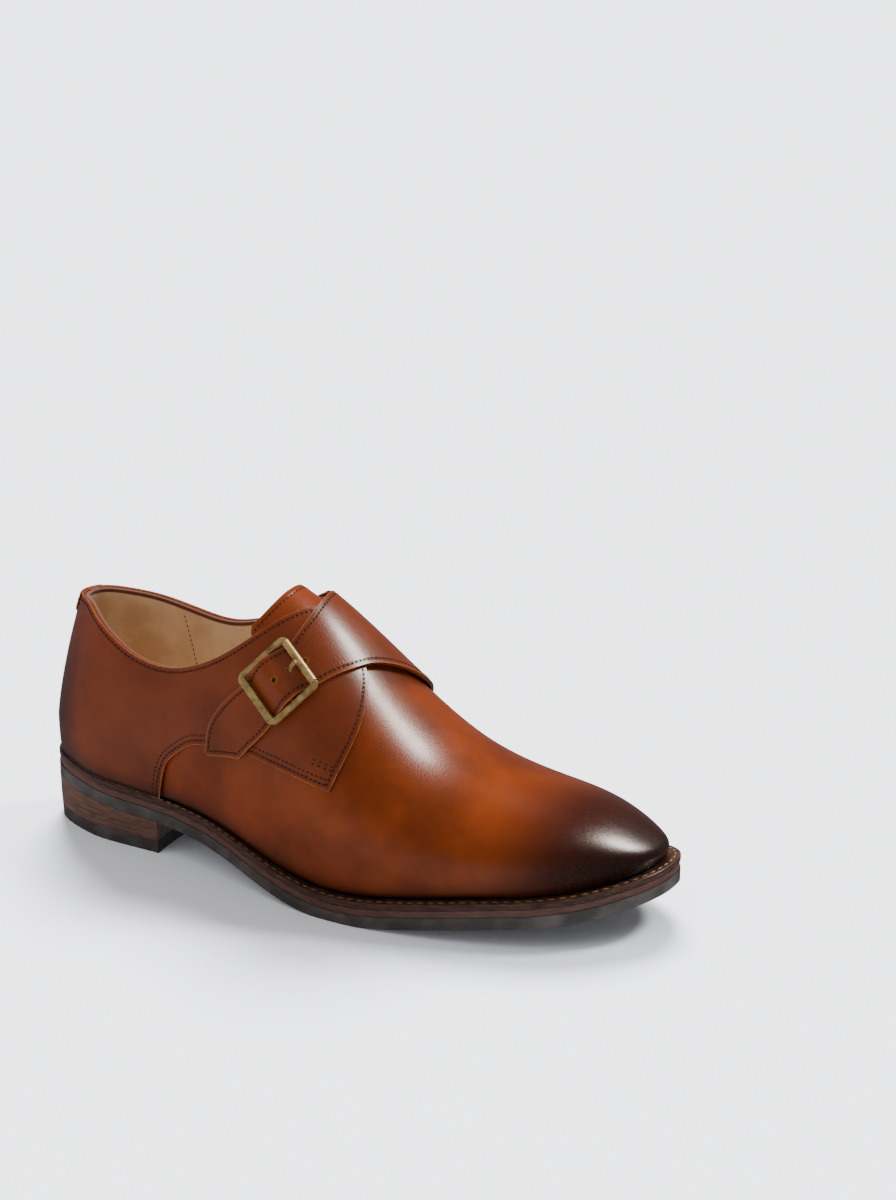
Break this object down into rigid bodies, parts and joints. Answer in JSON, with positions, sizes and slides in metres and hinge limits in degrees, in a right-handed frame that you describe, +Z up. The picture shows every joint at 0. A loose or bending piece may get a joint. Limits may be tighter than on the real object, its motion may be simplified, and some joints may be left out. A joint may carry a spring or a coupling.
{
  "type": "monk strap shoe",
  "caption": "Men's leather monk strap shoe for the right foot, hollow upper with strap and brass buckle on a welted sole with stacked heel",
  "frame": {"origin": "on the floor under the middle of the heel seat, at the mount heel_rest", "axes": "+X to the toe, +Y to the medial side, +Z up"},
  "size_m": [0.3066, 0.1069, 0.1269],
  "materials": {
    "upper_leather": "polished cognac calf, burnished dark at the toe",
    "quarter_leather": "polished red-brown calf",
    "lining_leather": "unpolished tan lining",
    "welt_leather": "dark brown edge, waxed",
    "heel_leather": "dark stacked leather, waxed",
    "brass": "antiqued brass, polished on its edges",
    "sole_rubber": "matt dark rubber"
  },
  "bodies": {
    "root": {"upper": "upper_leather", "lateral_quarter": "quarter_leather", "medial_quarter_strap": "quarter_leather", "tongue": "upper_leather", "buckle_frame": "brass", "buckle_roller": "brass", "buckle_prong": "brass", "buckle_tab": "quarter_leather", "back_strip": "quarter_leather", "insole": "lining_leather", "welt": "welt_leather", "midsole": "welt_leather", "outsole": "sole_rubber", "heel_lift_upper": "heel_leather", "heel_lift_lower": "heel_leather", "heel_top_piece": "sole_rubber"}
  },
  "joints": []
}
